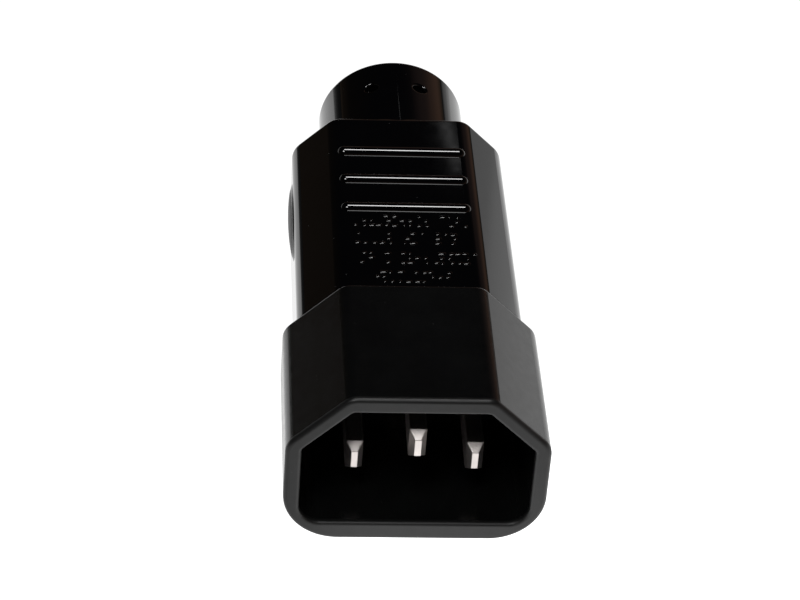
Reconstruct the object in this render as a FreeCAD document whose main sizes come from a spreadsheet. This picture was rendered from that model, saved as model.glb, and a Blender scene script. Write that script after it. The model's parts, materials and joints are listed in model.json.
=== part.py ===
import FreeCAD, Part
import math
import os
import Sketcher

# A straight mains adapter: a three-pin inlet plug in a rigid shroud, an overmoulded grip
# body, and a round neck with a three-contact outlet in its end.
# The frame: origin at the centre of the plug's rim, +Y from the rim to the outlet,
# +Z towards the earth pin, millimetres.

sizes = {
    # the shroud around the pins, from its rim at y = 0 back to the grip body
    "rim_width": 30.46,
    "rim_height": 21.38,
    "rim_bevel": 7.04,
    "shroud_length": 21.4,
    "shroud_top_taper": 0.61,
    "shroud_bevel_taper": 0.42,
    "shroud_side_taper": 0.15,
    "shroud_corner": 6.5,
    "shroud_top_edge": 2.0,
    "shroud_side_edge": 2.8,
    "rim_edge": 0.5,
    "shroud_rear_edge": 0.4,
    # the walls at the rim, which leave the mouth of the cavity between them
    "side_wall": 1.87,
    "top_wall": 2.075,
    "foot_wall": 2.535,
    "bevel_wall": 1.778,
    # the cavity that takes the mating connector
    "mouth_edge": 0.45,
    "cavity_draft": 0.35,
    "cavity_corner": 2.5,
    "cavity_edge": 0.9,
    "floor_thickness": 3.2,
    "floor_inset": 2.0,
    # the spigot that stands into the grip body and holds the pins from behind
    "spigot_width": 20.8,
    "spigot_height": 13.6,
    "spigot_bevel": 2.5,
    "spigot_length": 6.6,
    "spigot_wall": 1.4,
    # the three blade pins
    "pin_spacing": 14.0,
    "pin_offset": 2.0,
    "pin_width": 2.0,
    "pin_height": 4.0,
    "power_pin_recess": 4.15,
    "earth_pin_recess": 1.77,
    "pin_tip_width": 0.75,
    "pin_tip_height": 2.4,
    "pin_tip_length": 1.05,
    "pin_edge": 0.15,
    "pin_collar_width": 3.2,
    "pin_collar_height": 5.2,
    "pin_collar_length": 1.2,
    "retainer_thickness": 3.0,
    # crimp barrels and leads
    "barrel_radius": 1.3,
    "barrel_length": 5.0,
    "crimp_depth": 4.2,
    "core_radius": 0.57,
    "insulation_radius": 1.2,
    "lead_straight": 2.0,
    "lead_end_gap": 0.1,
    # the two-piece carrier between the plug and the outlet
    "carrier_width": 19.4,
    "carrier_height": 13.4,
    "carrier_bevel": 2.0,
    "carrier_wall": 1.2,
    "peg_radius": 0.35,
    "peg_height": 0.8,
    "peg_inset": 4.5,
    # the glossy grip body and its neck
    "body_length": 34.45,
    "body_width": 26.85,
    "body_height": 18.9,
    "body_bevel": 5.0,
    "body_taper": 0.22,
    "body_fall": 0.15,
    "body_corner": 4.4,
    "body_top_edge": 2.5,
    "body_side_edge": 3.0,
    "body_front_edge": 0.4,
    "body_rear_edge": 0.8,
    "neck_drop": 0.05,
    "neck_length": 12.45,
    "neck_rim_edge": 0.7,
    "rib_count": 3,
    "rib_length": 15.9,
    "rib_radius": 0.81,
    "rib_height": 0.6,
    "rib_pitch": 5.65,
    "rib_inset": 7.35,
    "thumb_pad_length": 15.0,
    "thumb_pad_height": 4.0,
    "thumb_pad_rise": 0.6,
    "thumb_pad_depth": 1.0,
    "thumb_pad_inset": 12.0,
    "thumb_pad_lift": 1.5,
    "witness_radius": 0.8,
    "witness_edge": 0.25,
    "witness_spacing": 6.0,
    "witness_inset": 5.3,
    # the outlet in the neck
    "outlet_radius": 7.2,
    "outlet_recess": 1.0,
    "entry_wall": 3.0,
    "entry_radius": 1.4,
    "entry_lead_in": 0.35,
    "contact_circle": 4.0,
    "contact_length": 10.2,
    "contact_radius": 1.6,
    "contact_bore": 1.15,
    "contact_slit": 0.4,
    "contact_slit_length": 7.0,
    "contact_collar_radius": 2.3,
    "contact_collar_length": 1.2,
    "hood_wall": 0.3,
    "hood_length": 7.6,
    "hood_slit": 0.6,
    "backing_thickness": 2.0,
    # fits
    "fit_gap": 0.05,
    "mould_gap": 0.02,
}

doc = FreeCAD.newDocument("adapter")
sheet = doc.addObject("Spreadsheet::Sheet", "Sizes")
for row, (alias, value) in enumerate(sizes.items(), start=1):
    sheet.set(f"A{row}", alias)
    sheet.set(f"B{row}", str(value))
    sheet.setAlias(f"B{row}", alias)
doc.recompute()

# Places along +Y that several pieces share, worked out from the sizes.
floor_back = "(Sizes.shroud_length - Sizes.floor_inset)"
cavity_depth = f"({floor_back} - Sizes.floor_thickness)"
retainer_front = f"({floor_back} + Sizes.pin_collar_length)"
retainer_back = f"({retainer_front} + Sizes.retainer_thickness)"
pin_end = f"({retainer_back} + Sizes.barrel_length)"
spigot_end = "(Sizes.shroud_length + Sizes.spigot_length)"
body_end = "(Sizes.shroud_length + Sizes.body_length)"
neck_end = f"({body_end} + Sizes.neck_length)"
outlet_face = f"({neck_end} - Sizes.outlet_recess)"
contact_front = f"({outlet_face} - Sizes.entry_wall - Sizes.fit_gap)"
collar_front = f"({contact_front} - Sizes.contact_length)"
collar_back = f"({collar_front} - Sizes.contact_collar_length)"
insert_back = f"({collar_back} - Sizes.fit_gap)"
backing_back = f"({insert_back} - Sizes.backing_thickness)"
contact_end = f"({insert_back} - Sizes.barrel_length)"
carrier_back = f"({backing_back} - Sizes.mould_gap)"

# The mouth of the cavity: its middle stands above the rim's, because the foot is thicker.
mouth_width = "(Sizes.rim_width - 2 * Sizes.side_wall)"
mouth_height = "(Sizes.rim_height - Sizes.top_wall - Sizes.foot_wall)"
mouth_lift = "((Sizes.foot_wall - Sizes.top_wall) / 2)"
mouth_bevel = "(Sizes.rim_bevel - Sizes.side_wall - Sizes.top_wall + sqrt(2) * Sizes.bevel_wall)"

# Other measures that two or more pieces share.
rear_height = "(Sizes.body_height - 2 * Sizes.body_fall)"
neck_radius = f"({rear_height} / 2 - Sizes.neck_drop)"
crimp_bore = "(Sizes.core_radius + Sizes.mould_gap)"
hood_bore = "(Sizes.contact_radius + Sizes.mould_gap)"
hood_outside = f"({hood_bore} + Sizes.hood_wall)"
recess_width = "(Sizes.spigot_width - 2 * Sizes.spigot_wall)"
recess_height = "(Sizes.spigot_height - 2 * Sizes.spigot_wall)"
socket_side = "(Sizes.contact_circle * cos(30))"
socket_drop = "(Sizes.contact_circle * sin(30))"

# Where each pole's pin and socket stand, as (x, z).
pin_places = {
    "line": ("-Sizes.pin_spacing / 2", "-Sizes.pin_offset"),
    "neutral": ("Sizes.pin_spacing / 2", "-Sizes.pin_offset"),
    "earth": ("0", "Sizes.pin_offset"),
}
socket_places = {
    "line": (f"-{socket_side}", f"-{socket_drop}"),
    "neutral": (socket_side, f"-{socket_drop}"),
    "earth": ("0", "Sizes.contact_circle"),
}


def number(alias):
    return float(sheet.get(alias))


def inset_bevel(bevel, inset):
    """The leg of a 45 degree corner after its outline has moved inwards."""
    return f"({bevel} - {inset} * (2 - sqrt(2)))"


def new_body(label):
    body = doc.addObject("PartDesign::Body", label)
    body.Label = label
    return body


def origin_feature(body, role):
    return next(f for f in body.Origin.OriginFeatures if f.Role == role)


def attach(body, item, role, offset):
    """Lay an item on one of the body's own origin planes, moved along the plane's normal."""
    item.AttachmentSupport = [(origin_feature(body, role), "")]
    item.MapMode = "FlatFace"
    item.setExpression(".AttachmentOffset.Base.z", offset)


def new_sketch(body, name, role, offset="0"):
    sketch = body.newObject("Sketcher::SketchObject", f"{body.Label}_{name}")
    attach(body, sketch, role, offset)
    return sketch


def cross_sketch(body, name, along="0"):
    """A sketch across the adapter at a place along +Y: its x is X and its y is Z."""
    return new_sketch(body, name, "XZ_Plane", f"-({along})")


def bind(sketch, constraint, expression):
    """Add a dimension to a sketch and let the sheet drive it."""
    index = sketch.addConstraint(constraint)
    sketch.setExpression(f"Constraints[{index}]", expression)


def place_point(sketch, geometry, point, across, up):
    bind(sketch, Sketcher.Constraint("DistanceX", -1, 1, geometry, point, 1.0), across)
    bind(sketch, Sketcher.Constraint("DistanceY", -1, 1, geometry, point, 1.0), up)


def add_polygon(sketch, corners):
    """A closed outline: drawn as a regular polygon, then each corner goes to its place."""
    turn = FreeCAD.Rotation(FreeCAD.Vector(0, 0, 1), 360 / len(corners))
    start = FreeCAD.Vector(5, 0, 0)
    first = sketch.GeometryCount
    for _ in corners:
        end = turn.multVec(start)
        sketch.addGeometry(Part.LineSegment(start, end))
        start = end
    for i in range(len(corners)):
        follower = first + (i + 1) % len(corners)
        sketch.addConstraint(Sketcher.Constraint("Coincident", first + i, 2, follower, 1))
    for i, (across, up) in enumerate(corners):
        place_point(sketch, first + i, 1, across, up)


def add_rectangle(sketch, width, height, across="0", up="0"):
    left, right = f"{across} - {width} / 2", f"{across} + {width} / 2"
    low, high = f"{up} - {height} / 2", f"{up} + {height} / 2"
    add_polygon(sketch, [(left, low), (right, low), (right, high), (left, high)])


def add_bevelled(sketch, width, height, bevel, lift="0"):
    """The plug's outline: square below, with both upper corners cut at 45 degrees."""
    side = f"({width} / 2)"
    low = f"({lift} - {height} / 2)"
    high = f"({lift} + {height} / 2)"
    corners = [
        (f"-{side}", low),
        (side, low),
        (side, f"{high} - {bevel}"),
        (f"{side} - {bevel}", high),
        (f"{bevel} - {side}", high),
        (f"-{side}", f"{high} - {bevel}"),
    ]
    add_polygon(sketch, corners)


def half_box(width, height, bevel, sign):
    """The corners of a bevelled box's section above z = 0, or below it for the sign '-'."""
    side = f"({width} / 2)"
    shoulder = f"{sign}({height} / 2 - {bevel})"
    top = f"{sign}({height} / 2)"
    return [
        (side, shoulder),
        (f"{side} - {bevel}", top),
        (f"{bevel} - {side}", top),
        (f"-{side}", shoulder),
    ]


def add_circle(sketch, radius, across="0", up="0"):
    index = sketch.addGeometry(Part.Circle(FreeCAD.Vector(1, 1, 0), FreeCAD.Vector(0, 0, 1), 1))
    place_point(sketch, index, 3, across, up)
    bind(sketch, Sketcher.Constraint("Radius", index, 1.0), radius)


def add_half_capsule(sketch, length, radius):
    """Half of a round-ended bar's outline, lying on the sketch's horizontal axis."""
    centre = FreeCAD.Vector(3, 0, 0)
    axis = FreeCAD.Vector(0, 0, 1)
    quarter = math.pi / 2
    right = sketch.addGeometry(Part.ArcOfCircle(Part.Circle(centre, axis, 1), 0, quarter))
    left = sketch.addGeometry(Part.ArcOfCircle(Part.Circle(-centre, axis, 1), quarter, 2 * quarter))
    top = sketch.addGeometry(Part.LineSegment(FreeCAD.Vector(3, 1, 0), FreeCAD.Vector(-3, 1, 0)))
    base = sketch.addGeometry(Part.LineSegment(FreeCAD.Vector(-4, 0, 0), FreeCAD.Vector(4, 0, 0)))
    sketch.addConstraint(Sketcher.Constraint("Tangent", right, 2, top, 1))
    sketch.addConstraint(Sketcher.Constraint("Tangent", top, 2, left, 1))
    sketch.addConstraint(Sketcher.Constraint("Coincident", left, 2, base, 1))
    sketch.addConstraint(Sketcher.Constraint("Coincident", base, 2, right, 1))
    place_point(sketch, right, 3, f"{length} / 2 - {radius}", "0")
    place_point(sketch, left, 3, f"{radius} - {length} / 2", "0")
    place_point(sketch, base, 1, f"-{length} / 2", "0")
    place_point(sketch, base, 2, f"{length} / 2", "0")


def add_feature(body, kind, name, sketch):
    feature = body.newObject(kind, f"{body.Label}_{name}")
    feature.Profile = sketch
    return feature


def pad(body, name, sketch, length, forwards=False):
    """Pad a sketch against its normal, which is +Y for a cross sketch, or along it."""
    feature = add_feature(body, "PartDesign::Pad", name, sketch)
    feature.Reversed = not forwards
    feature.setExpression("Length", length)
    doc.recompute()
    return feature


def pocket(body, name, sketch, length, forwards=False):
    """Cut a sketch against its normal, which is +Y for a cross sketch, or along it."""
    before = body.Shape.Volume
    feature = add_feature(body, "PartDesign::Pocket", name, sketch)
    feature.Reversed = forwards
    feature.setExpression("Length", length)
    doc.recompute()
    if body.Shape.Volume >= before:
        raise ValueError(f"{feature.Name} cuts nothing")
    return feature


def draft(body, name, plane, rise, length, wanted, hollow=False):
    """Lean outer faces, or a hollow's own, towards its axis by rise over length beyond a plane."""
    base = body.Tip
    names = [f"Face{i}" for i, face in enumerate(base.Shape.Faces, start=1) if wanted(face)]
    lean = body.newObject("PartDesign::Draft", f"{body.Label}_{name}")
    lean.Base = (base, names)
    lean.NeutralPlane = (plane, [""])
    lean.Reversed = not hollow
    doc.recompute()
    lean.setExpression("Angle", f"atan({rise} / {length})")
    doc.recompute()
    return lean


def finish_edges(body, kind, name, driven, size, wanted):
    base = body.Tip
    names = [f"Edge{i}" for i, edge in enumerate(base.Shape.Edges, start=1) if wanted(edge)]
    feature = body.newObject(kind, f"{body.Label}_{name}")
    feature.Base = (base, names)
    feature.setExpression(driven, size)
    doc.recompute()
    return feature


def round_edges(body, name, radius, wanted):
    """Fillet the edges of the body's last feature that the test picks out."""
    return finish_edges(body, "PartDesign::Fillet", name, "Radius", radius, wanted)


def bevel_edges(body, name, size, wanted):
    """Chamfer the edges of the body's last feature that the test picks out."""
    return finish_edges(body, "PartDesign::Chamfer", name, "Size", size, wanted)


def repeat_round_axis(body, name, feature):
    """Repeat a feature three times round the outlet's axis."""
    pattern = body.newObject("PartDesign::PolarPattern", f"{body.Label}_{name}")
    pattern.Originals = [feature]
    pattern.Axis = (origin_feature(body, "Y_Axis"), [""])
    pattern.Angle = 360
    pattern.Occurrences = 3
    body.Tip = pattern
    doc.recompute()
    return pattern


def place(body, across, up):
    body.setExpression(".Placement.Base.x", across)
    body.setExpression(".Placement.Base.z", up)
    doc.recompute()


def middle(edge):
    return edge.valueAt((edge.FirstParameter + edge.LastParameter) / 2)


def runs_back(edge):
    """Whether a straight edge runs from front to rear, within the draft."""
    if edge.Degenerated:
        return False
    run = edge.Vertexes[-1].Point - edge.Vertexes[0].Point
    return isinstance(edge.Curve, Part.Line) and abs(run.y) > 0.95 * run.Length


def lies_at(edge, along):
    """Whether an edge lies across the adapter at this place along +Y."""
    points = [v.Point for v in edge.Vertexes] + [middle(edge)]
    return all(abs(point.y - along) < 1e-4 for point in points)


def is_side(face):
    """Whether a flat face stands straight back from the rim."""
    return isinstance(face.Surface, Part.Plane) and abs(face.Surface.Axis.y) < 1e-6


def is_level(face):
    return is_side(face) and abs(face.Surface.Axis.x) < 1e-6


def is_flank(face):
    return is_side(face) and abs(face.Surface.Axis.z) < 1e-6


def at_shoulder(edge, width, bevel):
    """Whether an upper edge lies at the foot of its bevel, beside the flank."""
    return middle(edge).z > 0 and abs(middle(edge).x) > (number(width) - number(bevel)) / 2


def at_crown(edge, width, bevel):
    """Whether an upper edge lies at the head of its bevel, beside the top."""
    return middle(edge).z > 0 and not at_shoulder(edge, width, bevel)


def make_shroud():
    body = new_body("plug_shroud")
    rim_plane = origin_feature(body, "XZ_Plane")
    outline = cross_sketch(body, "rim")
    add_bevelled(outline, "Sizes.rim_width", "Sizes.rim_height", "Sizes.rim_bevel")
    pad(body, "skirt", outline, "Sizes.shroud_length")
    length = "Sizes.shroud_length"
    draft(body, "top_draft", rim_plane, "Sizes.shroud_top_taper", length, is_level)
    draft(body, "side_draft", rim_plane, "Sizes.shroud_side_taper", length, is_flank)
    draft(body, "bevel_draft", rim_plane, "Sizes.shroud_bevel_taper", length, is_side)
    radius = "Sizes.shroud_corner"
    round_edges(body, "corners", radius, lambda e: runs_back(e) and middle(e).z < 0 and at_foot(e))
    section = "rim_width", "rim_bevel"
    radius = "Sizes.shroud_top_edge"
    round_edges(body, "top_edges", radius, lambda e: runs_back(e) and at_crown(e, *section))
    radius = "Sizes.shroud_side_edge"
    round_edges(body, "side_edges", radius, lambda e: runs_back(e) and at_shoulder(e, *section))
    rear = number("shroud_length")
    round_edges(body, "rear_round", "Sizes.shroud_rear_edge", lambda e: lies_at(e, rear))
    add_spigot(body)
    cut_cavity(body, rim_plane)
    slots = cross_sketch(body, "pin_slots", cavity_depth)
    for across, up in pin_places.values():
        wide = "(Sizes.pin_width + 2 * Sizes.fit_gap)"
        tall = "(Sizes.pin_height + 2 * Sizes.fit_gap)"
        add_rectangle(slots, wide, tall, across, up)
    pocket(body, "slots", slots, "Sizes.floor_thickness")
    return body


def at_foot(edge):
    """Whether an edge is one of the lowest of an outline, not beside a bevel."""
    return middle(edge).z < -number("rim_height") / 4


def add_spigot(body):
    spigot = cross_sketch(body, "spigot_outline", "Sizes.shroud_length")
    add_bevelled(spigot, "Sizes.spigot_width", "Sizes.spigot_height", "Sizes.spigot_bevel")
    pad(body, "spigot", spigot, "Sizes.spigot_length")
    recess = cross_sketch(body, "recess_outline", floor_back)
    bevel = inset_bevel("Sizes.spigot_bevel", "Sizes.spigot_wall")
    add_bevelled(recess, recess_width, recess_height, bevel)
    pocket(body, "recess", recess, f"{spigot_end} - {floor_back}")


def cut_cavity(body, rim_plane):
    """The drafted cavity round the pins, its corners, and the rounded edges of the rim."""
    mouth = cross_sketch(body, "mouth")
    add_bevelled(mouth, mouth_width, mouth_height, mouth_bevel, mouth_lift)
    cavity = pocket(body, "cavity", mouth, cavity_depth)
    depth = cavity.Length.Value

    def in_cavity(face):
        box = face.BoundBox
        return is_side(face) and abs(box.YMin) < 1e-4 and abs(box.YMax - depth) < 1e-4

    rise = "Sizes.cavity_draft"
    draft(body, "cavity_lean", rim_plane, rise, cavity_depth, in_cavity, hollow=True)

    def cavity_edge(edge):
        ends = sorted(v.Point.y for v in edge.Vertexes)
        return runs_back(edge) and abs(ends[0]) < 1e-4 and abs(ends[-1] - depth) < 1e-4

    round_edges(
        body,
        "cavity_corners",
        "Sizes.cavity_corner",
        lambda e: cavity_edge(e) and at_foot(e),
    )
    round_edges(
        body,
        "cavity_edges",
        "Sizes.cavity_edge",
        lambda e: cavity_edge(e) and not at_foot(e) and is_sharp(body.Tip.Shape, e),
    )
    for name, size, which in (("rim_round", "rim_edge", max), ("mouth_round", "mouth_edge", min)):
        rim = next(face for face in body.Tip.Shape.Faces if face.BoundBox.YMax < 1e-4)
        wire = which(rim.Wires, key=lambda outline: outline.BoundBox.XLength)
        round_edges(
            body,
            name,
            f"Sizes.{size}",
            lambda e, bounds=wire: any(e.isSame(bound) for bound in bounds.Edges),
        )


def is_sharp(shape, edge):
    """Whether the two faces beside an edge meet at an angle there."""
    faces = shape.ancestorsOfType(edge, Part.Face)
    point = middle(edge)
    normals = [face.normalAt(*face.Surface.parameter(point)) for face in faces]
    return normals[0].getAngle(normals[1]) > 0.1


def make_pin(name, recess):
    """A blade pin with a tapered nose, a square collar and a round crimp barrel."""
    body = new_body(f"{name}_pin")
    nose_back = f"({recess} + Sizes.pin_tip_length)"
    tip = cross_sketch(body, "tip", recess)
    add_rectangle(tip, "Sizes.pin_tip_width", "Sizes.pin_tip_height")
    blade = cross_sketch(body, "blade", nose_back)
    add_rectangle(blade, "Sizes.pin_width", "Sizes.pin_height")
    nose = add_feature(body, "PartDesign::AdditiveLoft", "nose", tip)
    nose.Sections = [blade]
    nose.Ruled = True
    doc.recompute()
    shank = cross_sketch(body, "shank_outline", nose_back)
    add_rectangle(shank, "Sizes.pin_width", "Sizes.pin_height")
    pad(body, "shank", shank, f"{floor_back} - {nose_back}")
    shoulder = number(f"{name if name == 'earth' else 'power'}_pin_recess") + number("pin_tip_length")
    round_edges(body, "round", "Sizes.pin_edge", lambda e: not lies_at(e, shoulder))
    collar = cross_sketch(body, "collar_outline", floor_back)
    add_rectangle(collar, "Sizes.pin_collar_width", "Sizes.pin_collar_height")
    pad(body, "collar", collar, "Sizes.pin_collar_length")
    barrel = cross_sketch(body, "barrel_outline", retainer_front)
    add_circle(barrel, "Sizes.barrel_radius")
    pad(body, "barrel", barrel, f"{pin_end} - {retainer_front}")
    crimp = cross_sketch(body, "crimp_outline", pin_end)
    add_circle(crimp, crimp_bore)
    pocket(body, "crimp", crimp, "Sizes.crimp_depth", forwards=True)
    place(body, *pin_places[name])
    return body


def make_retainer():
    """The plate behind the pins' collars, which the crimp barrels pass through."""
    body = new_body("pin_retainer")
    plate = cross_sketch(body, "outline", retainer_front)
    width = f"({recess_width} - 2 * Sizes.fit_gap)"
    height = f"({recess_height} - 2 * Sizes.fit_gap)"
    inset = "(Sizes.spigot_wall + Sizes.fit_gap)"
    add_bevelled(plate, width, height, inset_bevel("Sizes.spigot_bevel", inset))
    pad(body, "plate", plate, "Sizes.retainer_thickness")
    holes = cross_sketch(body, "hole_outlines", retainer_front)
    for across, up in pin_places.values():
        add_circle(holes, "(Sizes.barrel_radius + Sizes.fit_gap)", across, up)
    pocket(body, "holes", holes, "Sizes.retainer_thickness")
    return body


def lead_path(body, start, end, shift):
    """The line of a lead: two straight ends, and two equal arcs that carry it sideways."""
    sketch = new_sketch(body, "path", "XY_Plane")
    axis = FreeCAD.Vector(0, 0, 1)
    lean = math.radians(30)
    out_of = Part.Circle(FreeCAD.Vector(8, 30, 0), axis, 8)
    back_to = Part.Circle(FreeCAD.Vector(-6, 38, 0), axis, 8)
    first = sketch.addGeometry(Part.LineSegment(FreeCAD.Vector(0, 20, 0), FreeCAD.Vector(0, 30, 0)))
    out = sketch.addGeometry(Part.ArcOfCircle(out_of, math.pi - lean, math.pi))
    back = sketch.addGeometry(Part.ArcOfCircle(back_to, -lean, 0))
    last = sketch.addGeometry(Part.LineSegment(FreeCAD.Vector(2, 38, 0), FreeCAD.Vector(2, 50, 0)))
    sketch.addConstraint(Sketcher.Constraint("Tangent", first, 2, out, 2))
    sketch.addConstraint(Sketcher.Constraint("Tangent", out, 1, back, 1))
    sketch.addConstraint(Sketcher.Constraint("Tangent", back, 2, last, 1))
    sketch.addConstraint(Sketcher.Constraint("Equal", out, back))
    sketch.addConstraint(Sketcher.Constraint("Vertical", last))
    place_point(sketch, first, 1, "0", start)
    place_point(sketch, first, 2, "0", f"{pin_end} + Sizes.lead_straight")
    place_point(sketch, last, 1, shift, f"{contact_end} - Sizes.lead_straight")
    bind(sketch, Sketcher.Constraint("DistanceY", -1, 1, last, 2, 1.0), end)
    return sketch


def make_run(name, radii, start, end, pin, contact):
    """A round bar or tube along a lead's path, from a pin's barrel to a contact's."""
    body = new_body(name)
    pole = name.split("_")[0]
    (pin_x, pin_z), (contact_x, contact_z) = pin_places[pole], socket_places[pole]
    shift = f"hypot({contact_x} - ({pin_x}); {contact_z} - ({pin_z}))"
    section = cross_sketch(body, "section", start)
    for radius in radii:
        add_circle(section, radius)
    path = lead_path(body, start, end, shift)
    run = add_feature(body, "PartDesign::AdditivePipe", "run", section)
    run.Spine = (path, [f"Edge{i + 1}" for i in range(path.GeometryCount)])
    reach = contact.Placement.Base - pin.Placement.Base
    angle = math.degrees(math.atan2(reach.z, reach.x))
    body.Placement.Rotation = FreeCAD.Rotation(FreeCAD.Vector(0, 1, 0), -angle)
    place(body, pin_x, pin_z)
    return body


def make_lead(pole, pin, contact):
    core_ends = f"({pin_end} - Sizes.crimp_depth)", f"({contact_end} + Sizes.crimp_depth)"
    core = make_run(f"{pole}_core", ["Sizes.core_radius"], *core_ends, pin, contact)
    cover_ends = f"({pin_end} + Sizes.lead_end_gap)", f"({contact_end} - Sizes.lead_end_gap)"
    tube = ["Sizes.insulation_radius", crimp_bore]
    cover = make_run(f"{pole}_insulation", tube, *cover_ends, pin, contact)
    return [core, cover]


def make_contact(name):
    """A turned socket: a slit tube for the mating pin, a collar and a crimp barrel."""
    body = new_body(f"{name}_contact")
    profile = new_sketch(body, "profile", "XY_Plane")
    bore_floor = f"({collar_front} + Sizes.fit_gap)"
    crimp_floor = f"({contact_end} + Sizes.crimp_depth)"
    corners = [
        ("0", crimp_floor),
        (crimp_bore, crimp_floor),
        (crimp_bore, contact_end),
        ("Sizes.barrel_radius", contact_end),
        ("Sizes.barrel_radius", collar_back),
        ("Sizes.contact_collar_radius", collar_back),
        ("Sizes.contact_collar_radius", collar_front),
        ("Sizes.contact_radius", collar_front),
        ("Sizes.contact_radius", contact_front),
        ("Sizes.contact_bore", contact_front),
        ("Sizes.contact_bore", bore_floor),
        ("0", bore_floor),
    ]
    add_polygon(profile, corners)
    turned = add_feature(body, "PartDesign::Revolution", "turned", profile)
    turned.ReferenceAxis = (profile, ["V_Axis"])
    turned.Angle = 360
    doc.recompute()
    slit = cross_sketch(body, "slit_outline", contact_front)
    add_rectangle(slit, "4 * Sizes.contact_radius", "Sizes.contact_slit")
    pocket(body, "slit", slit, "Sizes.contact_slit_length", forwards=True)
    place(body, *socket_places[name])
    return body


def make_hood(name):
    """A rolled spring sleeve, open along its seam, that closes the contact on the pin."""
    body = new_body(f"{name}_contact_spring")
    ring = cross_sketch(body, "ring", contact_front)
    add_circle(ring, hood_outside)
    add_circle(ring, hood_bore)
    pad(body, "sleeve", ring, "Sizes.hood_length", forwards=True)
    seam = cross_sketch(body, "seam_outline", contact_front)
    add_rectangle(seam, "Sizes.hood_slit", f"2 * {hood_bore}", "0", f"-{hood_bore}")
    pocket(body, "seam", seam, "Sizes.hood_length", forwards=True)
    place(body, *socket_places[name])
    return body


def make_insert():
    """The outlet's insulator: three chambers for the contacts behind three entry holes."""
    body = new_body("outlet_insert")
    disc = cross_sketch(body, "outline", insert_back)
    add_circle(disc, "Sizes.outlet_radius")
    pad(body, "block", disc, f"{outlet_face} - {insert_back}")
    bores = {
        "entry": ("Sizes.entry_radius", f"{outlet_face} - {insert_back}"),
        "chamber": (
            f"({hood_outside} + Sizes.fit_gap)",
            f"{outlet_face} - Sizes.entry_wall - {insert_back}",
        ),
        "seat": (
            "(Sizes.contact_collar_radius + Sizes.fit_gap)",
            f"{collar_front} - {insert_back}",
        ),
    }
    for name, (radius, depth) in bores.items():
        bore = cross_sketch(body, f"{name}_outline", insert_back)
        add_circle(bore, radius, *socket_places["earth"])
        repeat_round_axis(body, f"{name}_ring", pocket(body, name, bore, depth))
    face = max(vertex.Point.y for vertex in body.Shape.Vertexes)
    widest = number("outlet_radius") - 0.01
    bevel_edges(
        body,
        "entry_lead_in",
        "Sizes.entry_lead_in",
        lambda e: lies_at(e, face) and e.Curve.Radius < widest,
    )
    return body


def make_backing():
    """The plate that closes the insert over the contacts' collars."""
    body = new_body("outlet_backing")
    disc = cross_sketch(body, "outline", backing_back)
    add_circle(disc, "Sizes.outlet_radius")
    pad(body, "disc", disc, "Sizes.backing_thickness")
    hole = cross_sketch(body, "hole_outline", backing_back)
    add_circle(hole, "(Sizes.barrel_radius + Sizes.fit_gap)", *socket_places["earth"])
    repeat_round_axis(body, "holes", pocket(body, "hole", hole, "Sizes.backing_thickness"))
    return body


def make_carrier(name, sign, poles):
    """Half of the box that keeps the leads clear of the overmould. The halves meet at z = 0."""
    body = new_body(name)
    side = "(Sizes.carrier_width / 2)"
    inner_width = "(Sizes.carrier_width - 2 * Sizes.carrier_wall)"
    inner_height = "(Sizes.carrier_height - 2 * Sizes.carrier_wall)"
    inner_bevel = inset_bevel("Sizes.carrier_bevel", "Sizes.carrier_wall")
    outside = half_box("Sizes.carrier_width", "Sizes.carrier_height", "Sizes.carrier_bevel", sign)
    inside = half_box(inner_width, inner_height, inner_bevel, sign)
    block = cross_sketch(body, "outline", spigot_end)
    add_polygon(block, [(f"-{side}", "0"), (side, "0"), *outside])
    pad(body, "block", block, f"{carrier_back} - {spigot_end}")
    hollow = cross_sketch(body, "hollow_outline", spigot_end)
    add_polygon(hollow, [(f"-{inner_width} / 2", "0"), (f"{inner_width} / 2", "0"), *inside])
    pocket(body, "hollow", hollow, f"{carrier_back} - {spigot_end} - Sizes.carrier_wall")
    notches = cross_sketch(body, "notch_outlines", f"{carrier_back} - Sizes.carrier_wall")
    room = "(Sizes.barrel_radius + Sizes.fit_gap)"
    for pole in poles:
        across, up = socket_places[pole]
        reach = f"({up} {sign or '+'} {room})"
        add_rectangle(notches, f"(2 * {room})", reach, across, f"{reach} / 2")
    pocket(body, "notches", notches, "Sizes.carrier_wall")
    pegs = new_sketch(body, "peg_outlines", "XY_Plane")
    peg_side = "((Sizes.carrier_width - Sizes.carrier_wall) / 2)"
    radius = "Sizes.peg_radius" if sign else "(Sizes.peg_radius + Sizes.fit_gap)"
    for across in (f"-{peg_side}", peg_side):
        add_circle(pegs, radius, across, f"{spigot_end} + Sizes.peg_inset")
        add_circle(pegs, radius, across, f"{carrier_back} - Sizes.peg_inset")
    if sign:
        pad(body, "pegs", pegs, "Sizes.peg_height", forwards=True)
    else:
        pocket(body, "peg_holes", pegs, "Sizes.peg_height + Sizes.fit_gap", forwards=True)
    return body


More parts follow.
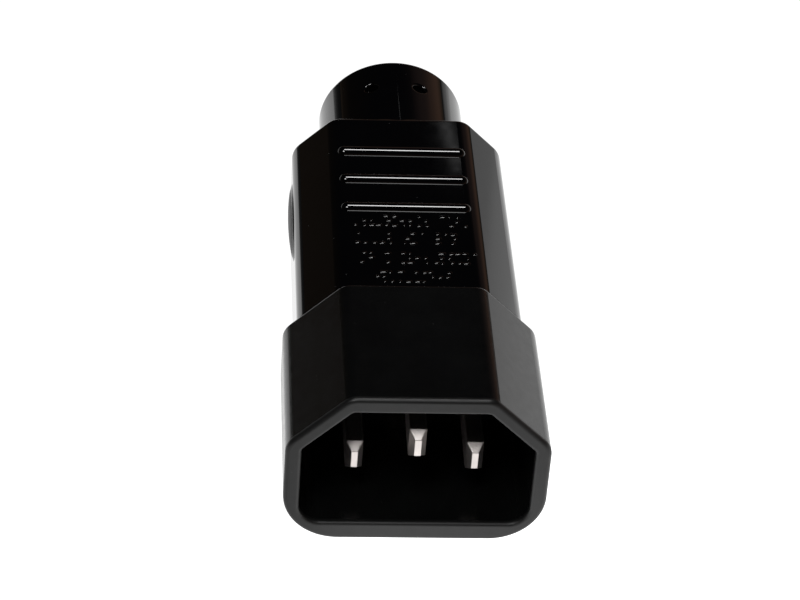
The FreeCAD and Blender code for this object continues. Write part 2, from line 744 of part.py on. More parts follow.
def make_grip():
    """The glossy overmould: grip body, ribs, thumb pad and neck in one piece."""
    body = new_body("grip_body")
    outline = cross_sketch(body, "front", "Sizes.shroud_length")
    add_bevelled(outline, "Sizes.body_width", "Sizes.body_height", "Sizes.body_bevel")
    pad(body, "block", outline, "Sizes.body_length")
    step = body.newObject("PartDesign::Plane", "grip_body_step")
    attach(body, step, "XZ_Plane", "-Sizes.shroud_length")
    doc.recompute()

    def leans_sideways(face):
        return is_side(face) and not is_level(face)

    length = "Sizes.body_length"
    draft(body, "side_draft", step, "Sizes.body_taper", length, leans_sideways)
    draft(body, "level_draft", step, "Sizes.body_fall", length, is_level)
    radius = "Sizes.body_corner"
    round_edges(body, "corners", radius, lambda e: runs_back(e) and middle(e).z < 0 and at_foot(e))
    section = "body_width", "body_bevel"
    radius = "Sizes.body_top_edge"
    round_edges(body, "top_edges", radius, lambda e: runs_back(e) and at_crown(e, *section))
    radius = "Sizes.body_side_edge"
    round_edges(body, "side_edges", radius, lambda e: runs_back(e) and at_shoulder(e, *section))
    front = number("shroud_length")
    rear = front + number("body_length")
    round_edges(body, "rear_round", "Sizes.body_rear_edge", lambda e: lies_at(e, rear))
    round_edges(body, "front_round", "Sizes.body_front_edge", lambda e: lies_at(e, front))
    add_ribs(body)
    add_neck(body)
    add_thumb_pad(body)
    hollow_grip(body)
    return body


def add_ribs(body):
    """Half-round ribs with domed ends across the top, and the same across the underside."""
    sunk = f"({rear_height} / 2 + Sizes.rib_height - Sizes.rib_radius)"
    bars = []
    for name, sign in (("upper", ""), ("lower", "-")):
        outline = new_sketch(body, f"{name}_rib_outline", "XY_Plane", f"{sign}{sunk}")
        outline.setExpression(".AttachmentOffset.Base.y", f"{body_end} - Sizes.rib_inset")
        add_half_capsule(outline, "Sizes.rib_length", "Sizes.rib_radius")
        bar = add_feature(body, "PartDesign::Revolution", f"{name}_rib", outline)
        bar.ReferenceAxis = (outline, ["H_Axis"])
        bar.Angle = 360
        doc.recompute()
        bars.append(bar)
    ribs = body.newObject("PartDesign::LinearPattern", "grip_body_ribs")
    ribs.Originals = bars
    ribs.Direction = (origin_feature(body, "Y_Axis"), [""])
    ribs.Reversed = True
    ribs.setExpression("Occurrences", "Sizes.rib_count")
    ribs.setExpression("Length", "Sizes.rib_pitch * (Sizes.rib_count - 1)")
    body.Tip = ribs
    doc.recompute()


def add_neck(body):
    neck = cross_sketch(body, "neck_outline", spigot_end)
    add_circle(neck, neck_radius)
    pad(body, "neck", neck, f"{neck_end} - {spigot_end}")
    end = number("shroud_length") + number("body_length") + number("neck_length")
    round_edges(body, "neck_rim", "Sizes.neck_rim_edge", lambda e: lies_at(e, end))


def add_thumb_pad(body):
    """A low dome on the line side: the cap of an ellipsoid sunk into the flank."""
    dome = body.newObject("PartDesign::AdditiveEllipsoid", "grip_body_thumb_pad")
    attach(body, dome, "XY_Plane", "Sizes.thumb_pad_lift")
    narrowing = "Sizes.body_taper * (1 - Sizes.thumb_pad_inset / Sizes.body_length)"
    flank = f"(Sizes.body_width / 2 - {narrowing})"
    sunk = "(Sizes.thumb_pad_depth - Sizes.thumb_pad_rise)"
    spread = f"(2 * sqrt(1 - ({sunk} / Sizes.thumb_pad_depth) ^ 2))"
    dome.setExpression(".AttachmentOffset.Base.x", f"{sunk} - {flank}")
    dome.setExpression(".AttachmentOffset.Base.y", f"{body_end} - Sizes.thumb_pad_inset")
    dome.setExpression("Radius1", f"Sizes.thumb_pad_height / {spread}")
    dome.setExpression("Radius2", "Sizes.thumb_pad_depth")
    dome.setExpression("Radius3", f"Sizes.thumb_pad_length / {spread}")
    doc.recompute()


def hollow_grip(body):
    """The rooms that the overmould leaves round the spigot, the carrier and the outlet."""
    grown = "2 * Sizes.mould_gap"
    spigot = cross_sketch(body, "spigot_room_outline", "Sizes.shroud_length")
    bevel = inset_bevel("Sizes.spigot_bevel", "-Sizes.mould_gap")
    width, height = f"(Sizes.spigot_width + {grown})", f"(Sizes.spigot_height + {grown})"
    add_bevelled(spigot, width, height, bevel)
    pocket(body, "spigot_room", spigot, "Sizes.spigot_length + Sizes.mould_gap")
    carrier = cross_sketch(body, "carrier_room_outline", "Sizes.shroud_length")
    bevel = inset_bevel("Sizes.carrier_bevel", "-Sizes.mould_gap")
    width, height = f"(Sizes.carrier_width + {grown})", f"(Sizes.carrier_height + {grown})"
    below = half_box(width, height, bevel, "-")
    add_polygon(carrier, [*half_box(width, height, bevel, ""), *reversed(below)])
    pocket(body, "carrier_room", carrier, f"{backing_back} - Sizes.shroud_length")
    outlet = cross_sketch(body, "outlet_room_outline", neck_end)
    add_circle(outlet, "(Sizes.outlet_radius + Sizes.mould_gap)")
    pocket(body, "outlet_room", outlet, f"{neck_end} - {backing_back}", forwards=True)
    holes = new_sketch(body, "witness_outlines", "XY_Plane")
    for across in ("-Sizes.witness_spacing / 2", "Sizes.witness_spacing / 2"):
        add_circle(holes, "Sizes.witness_radius", across, f"{neck_end} - Sizes.witness_inset")
    through = pocket(body, "witness_holes", holes, f"2 * {neck_radius}")
    through.Midplane = True
    doc.recompute()
    outside = number("body_height") / 2 - number("body_fall") - number("neck_drop")

    def at_mouth(edge):
        points = [v.Point for v in edge.Vertexes] + [middle(edge)]
        on_neck = all(abs(math.hypot(p.x, p.z) - outside) < 1e-3 for p in points)
        return on_neck and 0.1 < edge.BoundBox.YLength < 4 * number("witness_radius")

    round_edges(body, "witness_rounds", "Sizes.witness_edge", at_mouth)


make_shroud()
make_retainer()
make_insert()
make_backing()
make_carrier("core_lower_shell", "-", ["line", "neutral"])
make_carrier("core_upper_shell", "", ["earth"])
make_grip()
recesses = {
    "line": "Sizes.power_pin_recess",
    "neutral": "Sizes.power_pin_recess",
    "earth": "Sizes.earth_pin_recess",
}
for pole, recess in recesses.items():
    contact = make_contact(pole)
    make_hood(pole)
    make_lead(pole, make_pin(pole, recess), contact)
doc.recompute()

for item in doc.Objects:
    if {"Invalid", "Error"} & set(item.State):
        raise ValueError(f"{item.Name} did not build: {item.State}")
pieces = [item for item in doc.Objects if item.TypeId == "PartDesign::Body"]
for piece in pieces:
    if piece.Shape.isNull() or not piece.Shape.isValid() or len(piece.Shape.Solids) != 1:
        raise ValueError(f"{piece.Label} is not one valid solid")

os.makedirs("parts", exist_ok=True)
for piece in pieces:
    piece.Shape.exportStep(f"parts/{piece.Label}.step")
    print(piece.Label, round(piece.Shape.Volume, 2))
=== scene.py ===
import json
import math

import bpy
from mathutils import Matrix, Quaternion, Vector


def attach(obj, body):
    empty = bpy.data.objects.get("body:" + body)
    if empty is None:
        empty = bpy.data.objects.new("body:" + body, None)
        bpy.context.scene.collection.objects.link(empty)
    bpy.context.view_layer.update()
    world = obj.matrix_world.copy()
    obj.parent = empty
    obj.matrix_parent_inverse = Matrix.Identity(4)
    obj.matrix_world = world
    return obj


# Dresses the mains adapter. Metres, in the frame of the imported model:
# origin at the middle of the plug's rim, +Y towards the outlet, +Z towards the earth pin.

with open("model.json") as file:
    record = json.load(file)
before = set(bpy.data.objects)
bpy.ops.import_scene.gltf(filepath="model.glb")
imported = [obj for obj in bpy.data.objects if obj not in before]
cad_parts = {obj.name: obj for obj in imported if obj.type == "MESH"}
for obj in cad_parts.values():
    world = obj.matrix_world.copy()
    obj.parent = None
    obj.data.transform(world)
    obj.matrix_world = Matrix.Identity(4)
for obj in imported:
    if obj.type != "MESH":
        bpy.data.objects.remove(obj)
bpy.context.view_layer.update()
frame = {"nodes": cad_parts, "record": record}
mm = 0.001
print("frame: the packed model is in")


def addNode(tree, kind, inputs=None, **settings):
    # an input takes a plain value or another node's output
    node = tree.nodes.new(kind)
    for key, value in settings.items():
        setattr(node, key, value)
    for key, value in (inputs or {}).items():
        if isinstance(value, bpy.types.NodeSocket):
            tree.links.new(value, node.inputs[key])
        else:
            node.inputs[key].default_value = value
    return node


def calculate(tree, operation, first, second=0.0):
    return addNode(tree, "ShaderNodeMath", {0: first, 1: second}, operation=operation).outputs[0]


def noiseField(tree, place, size, detail=2.0, roughness=0.5):
    # size is the width of one blotch or grain, in metres
    inputs = {"Vector": place, "Scale": 1 / size, "Detail": detail, "Roughness": roughness}
    return addNode(tree, "ShaderNodeTexNoise", inputs).outputs["Fac"]


def spread(tree, value, low, high, fromLow=0.3, fromHigh=0.7):
    # a noise field mostly stays between 0.3 and 0.7
    inputs = {"Value": value, "From Min": fromLow, "From Max": fromHigh, "To Min": low, "To Max": high}
    return addNode(tree, "ShaderNodeMapRange", inputs).outputs["Result"]


def multiplyVectors(tree, first, second):
    inputs = {0: first, 1: second}
    return addNode(tree, "ShaderNodeVectorMath", inputs, operation="MULTIPLY").outputs[0]


def stretchPlace(tree, place, scale):
    return addNode(tree, "ShaderNodeMapping", {"Vector": place, "Scale": scale}).outputs[0]


def splitAxes(tree, vector):
    return addNode(tree, "ShaderNodeSeparateXYZ", {0: vector}).outputs


def mixColours(tree, share, first, second):
    node = addNode(tree, "ShaderNodeMix", data_type="RGBA")
    for socket, value in ((node.inputs[0], share), (node.inputs[6], first), (node.inputs[7], second)):
        if isinstance(value, bpy.types.NodeSocket):
            tree.links.new(value, socket)
        else:
            socket.default_value = value
    return node.outputs[2]


def addBump(tree, height, depth, under=None):
    inputs = {"Height": height, "Strength": 1.0, "Distance": depth}
    if under is not None:
        inputs["Normal"] = under
    return addNode(tree, "ShaderNodeBump", inputs).outputs["Normal"]


def startFinish(name):
    material = bpy.data.materials.new(name)
    material.use_nodes = True
    tree = material.node_tree
    shader = tree.nodes["Principled BSDF"]
    place = addNode(tree, "ShaderNodeTexCoord").outputs["Object"]
    return material, tree, shader, place


def colour(red, green, blue):
    return (red, green, blue, 1.0)


# lens and sensor in millimetres, roll in degrees
camera = {
    "place": (-30.348 * mm, -271.679 * mm, 247.160 * mm),
    "aim": (-0.845 * mm, 27.440 * mm, 2.860 * mm),
    "roll": 4.439,
    "lens": 145.03,
    "sensor": 36.0,
    "clip": (0.01, 20.0),
}


def placeCamera():
    data = bpy.data.cameras.new("photoCamera")
    data.sensor_width = camera["sensor"]
    data.lens = camera["lens"]
    data.clip_start, data.clip_end = camera["clip"]
    eye = bpy.data.objects.new("photoCamera", data)
    bpy.context.scene.collection.objects.link(eye)
    look = Vector(camera["aim"]) - Vector(camera["place"])
    roll = Quaternion((0, 0, 1), math.radians(camera["roll"]))
    eye.rotation_mode = "QUATERNION"
    eye.rotation_quaternion = look.to_track_quat("-Z", "Y") @ roll
    eye.location = camera["place"]
    bpy.context.scene.camera = eye


placeCamera()
print("camera: set to the photograph's view")

# The floor touches the rim's foot and the lower ribs. It glows white where the camera sees it
# and falls off further out. A stop is (distance in metres, radiance). A distance along x counts
# as many times as its side's stretch says. The two sides blend over change, along x.
floor = {
    "half": 1.2,
    "rimFoot": (0.5 * mm, -10.69 * mm),
    "ribFoot": (48.5 * mm, -9.90 * mm),
    "paint": colour(0.03, 0.03, 0.03),
    "reach": 0.6,
    "left": (
        (0.0, 2.05), (0.020, 1.95), (0.050, 1.08), (0.192, 1.05),
        (0.22, 0.25), (0.29, 0.07), (0.40, 0.02), (0.60, 0.015),
    ),
    "right": (
        (0.0, 2.05), (0.012, 1.95), (0.035, 1.08), (0.117, 1.05), (0.133, 0.72),
        (0.150, 0.62), (0.162, 0.44), (0.20, 0.38), (0.28, 0.26), (0.42, 0.04), (0.60, 0.03),
    ),
    "stretch": {"left": 3.0, "right": 0.5},
    "change": (-0.02, 0.02),
}
# The room's tones by height above the horizon (0 level, 1 overhead), one list for each side.
# change is where the sides blend, along a view direction's x.
surroundings = {
    "left": (
        (0.0, colour(0.085, 0.062, 0.045)),
        (0.05, colour(0.036, 0.027, 0.020)),
        (0.20, colour(0.014, 0.011, 0.009)),
        (0.60, colour(0.008, 0.008, 0.011)),
    ),
    "right": (
        (0.0, colour(0.10, 0.07, 0.05)),
        (0.10, colour(0.24, 0.14, 0.10)),
        (0.38, colour(0.09, 0.062, 0.056)),
        (0.56, colour(0.012, 0.011, 0.014)),
        (1.0, colour(0.008, 0.008, 0.011)),
    ),
    "change": (-0.25, 0.35),
}
# The overhead lamp draws the lines along the ribs, the front one lights the pins' noses, and
# the last draws the streak on the grip's top. roll is in degrees.
lamps = {
    "overhead": {
        "place": (0.08, 0.12, 1.0),
        "aim": (0.0, 0.03, 0.0),
        "size": (0.18, 0.22),
        "power": 3.1,
    },
    "front": {
        "place": (-0.20, -0.40, 0.85),
        "aim": (0.0, 0.0, 0.0),
        "size": (0.30, 0.30),
        "power": 5.0,
    },
    "streak": {
        "place": (0.060, 0.530, 0.355),
        "aim": (0.005, 0.049, 0.009),
        "size": (0.003, 0.020),
        "power": 0.00012,
        "roll": 22.0,
    },
}


def ramp(tree, value, stops):
    node = addNode(tree, "ShaderNodeValToRGB", {0: value})
    band = node.color_ramp
    band.interpolation = "EASE"
    while len(band.elements) < len(stops):
        band.elements.new(0.5)
    for element, (place, tone) in zip(band.elements, stops):
        element.position = place
        element.color = tone
    return node.outputs["Color"]


def twoSided(tree, across, change, left, right):
    return mixColours(tree, spread(tree, across, 0.0, 1.0, *change), left, right)


def layFloor():
    (nearY, nearZ), (farY, farZ) = floor["rimFoot"], floor["ribFoot"]
    slope = (farZ - nearZ) / (farY - nearY)
    half = floor["half"]
    sides = ((-half, -half), (half, -half), (half, half), (-half, half))
    mesh = bpy.data.meshes.new("studioFloor")
    mesh.from_pydata([(x, y, nearZ + slope * (y - nearY)) for x, y in sides], [], [(0, 1, 2, 3)])
    piece = bpy.data.objects.new("studioFloor", mesh)
    bpy.context.scene.collection.objects.link(piece)
    material, tree, shader, place = startFinish("studioFloor")
    reach = floor["reach"]
    glows = []
    for side in ("left", "right"):
        stretched = stretchPlace(tree, place, (floor["stretch"][side], 1, 1))
        away = addNode(tree, "ShaderNodeVectorMath", {0: stretched}, operation="LENGTH")
        share = calculate(tree, "DIVIDE", away.outputs["Value"], reach)
        stops = [(distance / reach, colour(glow, glow, glow)) for distance, glow in floor[side]]
        glows.append(ramp(tree, share, stops))
    across = splitAxes(tree, place)["X"]
    tree.links.new(twoSided(tree, across, floor["change"], *glows), shader.inputs["Emission Color"])
    shader.inputs["Emission Strength"].default_value = 1.0
    shader.inputs["Base Color"].default_value = floor["paint"]
    shader.inputs["Roughness"].default_value = 0.9
    shader.inputs["Specular IOR Level"].default_value = 0.0
    mesh.materials.append(material)


def paintSurroundings():
    world = bpy.data.worlds.new("studio")
    bpy.context.scene.world = world
    world.use_nodes = True
    tree = world.node_tree
    direction = addNode(tree, "ShaderNodeTexCoord").outputs["Generated"]
    axes = splitAxes(tree, direction)
    sides = [ramp(tree, axes["Z"], surroundings[side]) for side in ("left", "right")]
    tint = twoSided(tree, axes["X"], surroundings["change"], *sides)
    tree.links.new(tint, tree.nodes["Background"].inputs["Color"])


def hangLamps():
    for name, lamp in lamps.items():
        data = bpy.data.lights.new(name, "AREA")
        data.shape = "RECTANGLE"
        data.size, data.size_y = lamp["size"]
        data.energy = lamp["power"]
        light = bpy.data.objects.new(name, data)
        bpy.context.scene.collection.objects.link(light)
        look = Vector(lamp["aim"]) - Vector(lamp["place"])
        light.rotation_mode = "QUATERNION"
        roll = Quaternion((0, 0, 1), math.radians(lamp.get("roll", 0.0)))
        light.rotation_quaternion = look.to_track_quat("-Z", "Y") @ roll
        light.location = lamp["place"]


layFloor()
paintSurroundings()
hangLamps()
bpy.context.scene.view_settings.view_transform = "Standard"
print("studio: floor, surroundings and lamps are in")

# black: the two tones it drifts between; rough: lowest and highest roughness.
# grain: width and depth of the mould's texture; wave: the same for its slow ripple.
# dust: spacing of its specks, share of the places that hold one, and colour.
# rim: how deep the duller front is, and its extra roughness; pad: the x it stands out from,
# and the same; shine: how strongly it mirrors, 0.5 where nothing is said.
mouldedBlacks = {
    "shroudBlack": {
        "black": (colour(0.0018, 0.0019, 0.0019), colour(0.0029, 0.0032, 0.0031)),
        "rough": (0.17, 0.23),
        "grain": (0.12 * mm, 0.0003 * mm),
        "wave": (1.7 * mm, 0.0009 * mm),
        "dust": (0.9 * mm, 0.14, colour(0.05, 0.05, 0.05)),
        "rim": (0.55 * mm, 0.26),
        "shine": 0.42,
    },
    "gripBlack": {
        "black": (colour(0.0005, 0.0005, 0.0006), colour(0.0008, 0.0008, 0.0009)),
        "rough": (0.040, 0.060),
        "grain": (0.25 * mm, 0.0001 * mm),
        "wave": (2.6 * mm, 0.0006 * mm),
        "dust": (1.3 * mm, 0.12, colour(0.04, 0.04, 0.04)),
        "pad": (-13.46 * mm, 0.42),
    },
    "insertBlack": {
        "black": (colour(0.012, 0.012, 0.013), colour(0.017, 0.017, 0.018)),
        "rough": (0.42, 0.52),
        "grain": (0.10 * mm, 0.0020 * mm),
        "wave": (1.2 * mm, 0.0020 * mm),
        "dust": (0.8 * mm, 0.08, colour(0.06, 0.06, 0.06)),
    },
}


# what the three blacks share: widths of the drifts in tone and in gloss, a speck's radius as a
# share of the spacing, the width of the pad's edge and the plastic's index of refraction
mouldedPlastic = {"tone": 6 * mm, "gloss": 1.1 * mm, "speck": 0.05, "padEdge": 0.05 * mm, "index": 1.45}


def mouldedBlack(name):
    look = mouldedBlacks[name]
    material, tree, shader, place = startFinish(name)
    tone = noiseField(tree, place, mouldedPlastic["tone"])
    flatBlack = mixColours(tree, spread(tree, tone, 0.0, 1.0), *look["black"])
    spacing, share, grey = look["dust"]
    specks = addNode(tree, "ShaderNodeTexVoronoi", {"Vector": place, "Scale": 1 / spacing})
    near = calculate(tree, "LESS_THAN", specks.outputs["Distance"], mouldedPlastic["speck"])
    chosen = addNode(tree, "ShaderNodeSeparateColor", {0: specks.outputs["Color"]}).outputs[0]
    dust = calculate(tree, "MULTIPLY", near, calculate(tree, "LESS_THAN", chosen, share))
    tree.links.new(mixColours(tree, dust, flatBlack, grey), shader.inputs["Base Color"])
    rough = spread(tree, noiseField(tree, place, mouldedPlastic["gloss"], 3.0), *look["rough"])
    axes = splitAxes(tree, place)
    if "rim" in look:
        # the plug's rim, at the very front, is duller than the rest
        depth, extra = look["rim"]
        rough = calculate(tree, "ADD", rough, spread(tree, axes["Y"], extra, 0.0, depth, 1.5 * depth))
    if "pad" in look:
        # so is the thumb pad, which stands out on the left flank
        edge, extra = look["pad"]
        proud = spread(tree, axes["X"], extra, 0.0, edge - mouldedPlastic["padEdge"], edge)
        rough = calculate(tree, "ADD", rough, proud)
    tree.links.new(rough, shader.inputs["Roughness"])
    waveSize, waveDepth = look["wave"]
    grainSize, grainDepth = look["grain"]
    ripple = addBump(tree, noiseField(tree, place, waveSize, 1.0), waveDepth)
    grain = addBump(tree, noiseField(tree, place, grainSize, 3.0, 0.6), grainDepth, ripple)
    tree.links.new(grain, shader.inputs["Normal"])
    shader.inputs["IOR"].default_value = mouldedPlastic["index"]
    shader.inputs["Specular IOR Level"].default_value = look.get("shine", 0.5)
    return material


# metal: the two tones it drifts between; lines: how a tool mark is stretched along x, y and z.
# depth: how deep a tool mark is.
bareMetals = {
    "pinNickel": {
        "metal": (colour(0.46, 0.43, 0.41), colour(0.54, 0.50, 0.48)),
        "rough": (0.30, 0.40),
        "lines": (1 / (0.10 * mm), 1 / (3.0 * mm), 1 / (0.10 * mm)),
        "depth": 0.0012 * mm,
    },
    "contactBrass": {
        "metal": (colour(0.70, 0.50, 0.20), colour(0.80, 0.60, 0.28)),
        "rough": (0.20, 0.34),
        "lines": (1 / (2.0 * mm), 1 / (0.06 * mm), 1 / (2.0 * mm)),
        "depth": 0.0016 * mm,
    },
    "springSteel": {
        "metal": (colour(0.52, 0.52, 0.53), colour(0.62, 0.62, 0.63)),
        "rough": (0.26, 0.38),
        "lines": (1 / (0.08 * mm), 1 / (2.0 * mm), 1 / (0.08 * mm)),
        "depth": 0.0012 * mm,
    },
    "coreCopper": {
        "metal": (colour(0.78, 0.36, 0.20), colour(0.90, 0.48, 0.30)),
        "rough": (0.24, 0.36),
        "lines": (1 / (0.16 * mm), 1 / (6.0 * mm), 1 / (0.16 * mm)),
        "depth": 0.02 * mm,
    },
}


tarnish = 1.6 * mm


def bareMetal(name):
    look = bareMetals[name]
    material, tree, shader, place = startFinish(name)
    tone = spread(tree, noiseField(tree, place, tarnish), 0.0, 1.0)
    tree.links.new(mixColours(tree, tone, *look["metal"]), shader.inputs["Base Color"])
    toolMarks = noiseField(tree, stretchPlace(tree, place, look["lines"]), 1.0, 3.0)
    tree.links.new(spread(tree, toolMarks, *look["rough"]), shader.inputs["Roughness"])
    tree.links.new(addBump(tree, toolMarks, look["depth"]), shader.inputs["Normal"])
    shader.inputs["Metallic"].default_value = 1.0
    return material


# stripe: a second colour on one side of the lead, or nothing.
sleevings = {
    "lineBrown": {"plain": colour(0.085, 0.030, 0.012), "stripe": None},
    "neutralBlue": {"plain": colour(0.010, 0.075, 0.36), "stripe": None},
    "earthGreenYellow": {"plain": colour(0.012, 0.20, 0.030), "stripe": colour(0.72, 0.55, 0.015)},
}
# what the three coverings share: where the stripe starts, the drift in tone, and the die's lines
drawnPlastic = {
    "stripeEdge": 0.25 * mm,
    "tone": 2.5 * mm,
    "lines": (1 / (0.25 * mm), 1 / (4.0 * mm), 1 / (0.25 * mm)),
    "rough": (0.34, 0.46),
    "depth": 0.002 * mm,
}


def sleeving(name):
    look = sleevings[name]
    material, tree, shader, place = startFinish(name)
    tone = spread(tree, noiseField(tree, place, drawnPlastic["tone"]), 0.0, 1.0)
    pale = colour(*(0.85 * part + 0.02 for part in look["plain"][:3]))
    base = mixColours(tree, tone, look["plain"], pale)
    if look["stripe"]:
        across = splitAxes(tree, place)["X"]
        striped = calculate(tree, "GREATER_THAN", across, drawnPlastic["stripeEdge"])
        base = mixColours(tree, striped, base, look["stripe"])
    tree.links.new(base, shader.inputs["Base Color"])
    dieLines = noiseField(tree, stretchPlace(tree, place, drawnPlastic["lines"]), 1.0)
    tree.links.new(spread(tree, dieLines, *drawnPlastic["rough"]), shader.inputs["Roughness"])
    tree.links.new(addBump(tree, dieLines, drawnPlastic["depth"]), shader.inputs["Normal"])
    return material


naturalNylon = {
    "tones": (colour(0.60, 0.57, 0.49), colour(0.70, 0.67, 0.60)),
    "tone": 4 * mm,
    "rough": (0.40, 0.52),
    "gloss": 1.3 * mm,
    "grain": (0.14 * mm, 0.003 * mm),
    "glow": 0.12,
    "glowDepth": (1.2 * mm, 1.0 * mm, 0.8 * mm),
}


def carrierNatural():
    material, tree, shader, place = startFinish("carrierNatural")
    tone = spread(tree, noiseField(tree, place, naturalNylon["tone"]), 0.0, 1.0)
    tree.links.new(mixColours(tree, tone, *naturalNylon["tones"]), shader.inputs["Base Color"])
    rough = spread(tree, noiseField(tree, place, naturalNylon["gloss"], 3.0), *naturalNylon["rough"])
    tree.links.new(rough, shader.inputs["Roughness"])
    size, depth = naturalNylon["grain"]
    tree.links.new(addBump(tree, noiseField(tree, place, size, 3.0), depth), shader.inputs["Normal"])
    shader.inputs["Subsurface Weight"].default_value = naturalNylon["glow"]
    shader.inputs["Subsurface Radius"].default_value = naturalNylon["glowDepth"]
    return material


finishes = {
    "shroud_black": mouldedBlack("shroudBlack"),
    "grip_black": mouldedBlack("gripBlack"),
    "insert_black": mouldedBlack("insertBlack"),
    "pin_nickel": bareMetal("pinNickel"),
    "contact_brass": bareMetal("contactBrass"),
    "spring_steel": bareMetal("springSteel"),
    "core_copper": bareMetal("coreCopper"),
    "line_brown": sleeving("lineBrown"),
    "neutral_blue": sleeving("neutralBlue"),
    "earth_green_yellow": sleeving("earthGreenYellow"),
    "carrier_natural": carrierNatural(),
}
for part in frame["record"]["subparts"]:
    for slot in frame["nodes"][part["node"]].material_slots:
        slot.material = finishes[part["material_slot"]]
print("finishes: every piece of the model has its own")

# Four rows of small raised dashes on the grip's top. A row is (left end, right end, foot).
# face is the height of that face at its front edge, where that edge is, and how it slopes.
# dash is a dash's length, width and height, and its stretch is drawn between shortest and
# longest. kept is the share of dashes that a line keeps, and wander is how far they stray.
marks = {
    "rows": (
        (-6.1 * mm, 7.0 * mm, 33.6 * mm),
        (-6.2 * mm, 6.5 * mm, 30.2 * mm),
        (-6.5 * mm, 7.6 * mm, 26.4 * mm),
        (-4.1 * mm, 4.2 * mm, 22.8 * mm),
    ),
    "face": (9.45 * mm, 21.4 * mm, -0.15 / 34.45),
    "lines": 3,
    "linePitch": 0.90 * mm,
    "columnPitch": 0.95 * mm,
    "dash": (0.42 * mm, 0.25 * mm, 0.12 * mm),
    "keptOutside": 0.68,
    "keptInside": 0.42,
    "wander": (0.20 * mm, 0.05 * mm, 0.0),
    "shortest": (0.4, 0.85, 0.85),
    "longest": (1.35, 1.1, 1.1),
    "seed": 14,
}


def randomVector(tree, low, high, seed, step):
    inputs = {0: low, 1: high, "Seed": calculate(tree, "ADD", seed, step)}
    return addNode(tree, "FunctionNodeRandomValue", inputs, data_type="FLOAT_VECTOR").outputs[0]


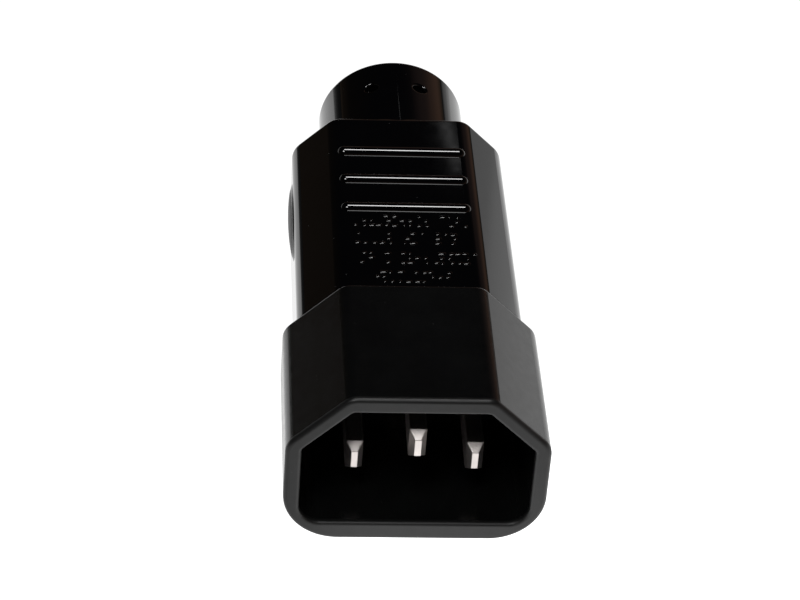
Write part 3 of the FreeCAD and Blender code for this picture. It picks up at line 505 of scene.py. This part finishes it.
def markTree():
    tree = bpy.data.node_groups.new("raisedMarks", "GeometryNodeTree")
    face = tree.interface
    wanted = (
        ("Lines", "Int"), ("Line Pitch", "Float"), ("Columns", "Int"), ("Column Pitch", "Float"),
        ("Dash", "Vector"), ("Wander", "Vector"), ("Shortest", "Vector"), ("Longest", "Vector"),
        ("Kept Outside", "Float"), ("Kept Inside", "Float"), ("Seed", "Int"), ("Finish", "Material"),
    )
    for name, kind in wanted:
        face.new_socket(name=name, in_out="INPUT", socket_type="NodeSocket" + kind)
    face.new_socket(name="Marks", in_out="OUTPUT", socket_type="NodeSocketGeometry")
    given = addNode(tree, "NodeGroupInput").outputs
    columnGaps = calculate(tree, "SUBTRACT", given["Columns"], 1.0)
    lineGaps = calculate(tree, "SUBTRACT", given["Lines"], 1.0)
    width = calculate(tree, "MULTIPLY", columnGaps, given["Column Pitch"])
    height = calculate(tree, "MULTIPLY", lineGaps, given["Line Pitch"])
    grid = addNode(tree, "GeometryNodeMeshGrid", {
        "Size X": width, "Size Y": height, "Vertices X": given["Columns"], "Vertices Y": given["Lines"],
    }).outputs["Mesh"]
    points = addNode(tree, "GeometryNodeMeshToPoints", {"Mesh": grid}).outputs[0]

    # the row's outer lines, past a quarter of its height, keep more dashes than the one inside
    place = addNode(tree, "GeometryNodeInputPosition").outputs[0]
    axes = splitAxes(tree, place)
    fromMiddle = calculate(tree, "ABSOLUTE", axes["Y"])
    outside = calculate(tree, "GREATER_THAN", fromMiddle, calculate(tree, "MULTIPLY", height, 0.25))
    kept = spread(tree, outside, given["Kept Inside"], given["Kept Outside"], 0.0, 1.0)
    draw = randomVector(tree, (0, 0, 0), (1, 1, 1), given["Seed"], 0.0)
    dropped = calculate(tree, "GREATER_THAN", splitAxes(tree, draw)["X"], kept)
    left = addNode(
        tree, "GeometryNodeDeleteGeometry", {"Geometry": points, "Selection": dropped}, domain="POINT"
    ).outputs[0]

    swing = randomVector(tree, (-1, -1, -1), (1, 1, 1), given["Seed"], 1.0)
    offset = multiplyVectors(tree, swing, given["Wander"])
    moved = addNode(tree, "GeometryNodeSetPosition", {"Geometry": left, "Offset": offset}).outputs[0]

    # a dash is a ball drawn out along x: its two halves move apart, so its middle stays straight
    ballSizes = {"Segments": 16, "Rings": 9, "Radius": 1.0}
    ball = addNode(tree, "GeometryNodeMeshUVSphere", ballSizes).outputs["Mesh"]
    onItsSide = {"Geometry": ball, "Rotation": (0, math.pi / 2, 0)}
    lying = addNode(tree, "GeometryNodeTransform", onItsSide).outputs[0]
    side = calculate(tree, "SIGN", axes["X"])
    apart = addNode(tree, "ShaderNodeCombineXYZ", {"X": side}).outputs[0]
    drawn = addNode(tree, "GeometryNodeSetPosition", {"Geometry": lying, "Offset": apart}).outputs[0]
    halves = multiplyVectors(tree, given["Dash"], (0.5, 1.0, 1.0))
    dash = addNode(tree, "GeometryNodeTransform", {"Geometry": drawn, "Scale": halves}).outputs[0]
    stretch = randomVector(tree, given["Shortest"], given["Longest"], given["Seed"], 2.0)
    placed = addNode(
        tree, "GeometryNodeInstanceOnPoints", {"Points": moved, "Instance": dash, "Scale": stretch}
    ).outputs[0]
    real = addNode(tree, "GeometryNodeRealizeInstances", {"Geometry": placed}).outputs[0]
    finished = addNode(
        tree, "GeometryNodeSetMaterial", {"Geometry": real, "Material": given["Finish"]}
    ).outputs[0]
    tree.links.new(finished, addNode(tree, "NodeGroupOutput").inputs[0])
    return tree


def growPiece(name, tree, values):
    # runs the tree once and keeps its result as a plain mesh
    start = bpy.data.objects.new(name + "Start", bpy.data.meshes.new(name + "Start"))
    bpy.context.scene.collection.objects.link(start)
    modifier = start.modifiers.new("grow", "NODES")
    modifier.node_group = tree
    for item in tree.interface.items_tree:
        if item.in_out == "INPUT":
            modifier[item.identifier] = values[item.name]
    depsgraph = bpy.context.evaluated_depsgraph_get()
    mesh = bpy.data.meshes.new_from_object(start.evaluated_get(depsgraph))
    start.modifiers.clear()
    bpy.data.objects.remove(start)
    mesh.name = name
    piece = bpy.data.objects.new(name, mesh)
    bpy.context.scene.collection.objects.link(piece)
    return piece


def raiseMarks():
    tree = markTree()
    frontZ, frontY, slope = marks["face"]
    for number, (left, right, foot) in enumerate(marks["rows"], start=1):
        piece = growPiece(f"raised_marks_{number}", tree, {
            "Lines": marks["lines"], "Line Pitch": marks["linePitch"],
            "Columns": round((right - left) / marks["columnPitch"]) + 1,
            "Column Pitch": marks["columnPitch"],
            "Dash": marks["dash"], "Wander": marks["wander"],
            "Shortest": marks["shortest"], "Longest": marks["longest"],
            "Kept Outside": marks["keptOutside"], "Kept Inside": marks["keptInside"],
            "Seed": marks["seed"] + 10 * number, "Finish": finishes["grip_black"],
        })
        middleY = foot + (marks["lines"] - 1) * marks["linePitch"] / 2
        for vertex in piece.data.vertices:
            vertex.co.x += (left + right) / 2
            vertex.co.y += middleY
            vertex.co.z += frontZ + slope * (vertex.co.y - frontY)
        for polygon in piece.data.polygons:
            polygon.use_smooth = True
        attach(piece, "root")
        print("marks:", piece.name, len(piece.data.polygons), "faces")


raiseMarks()
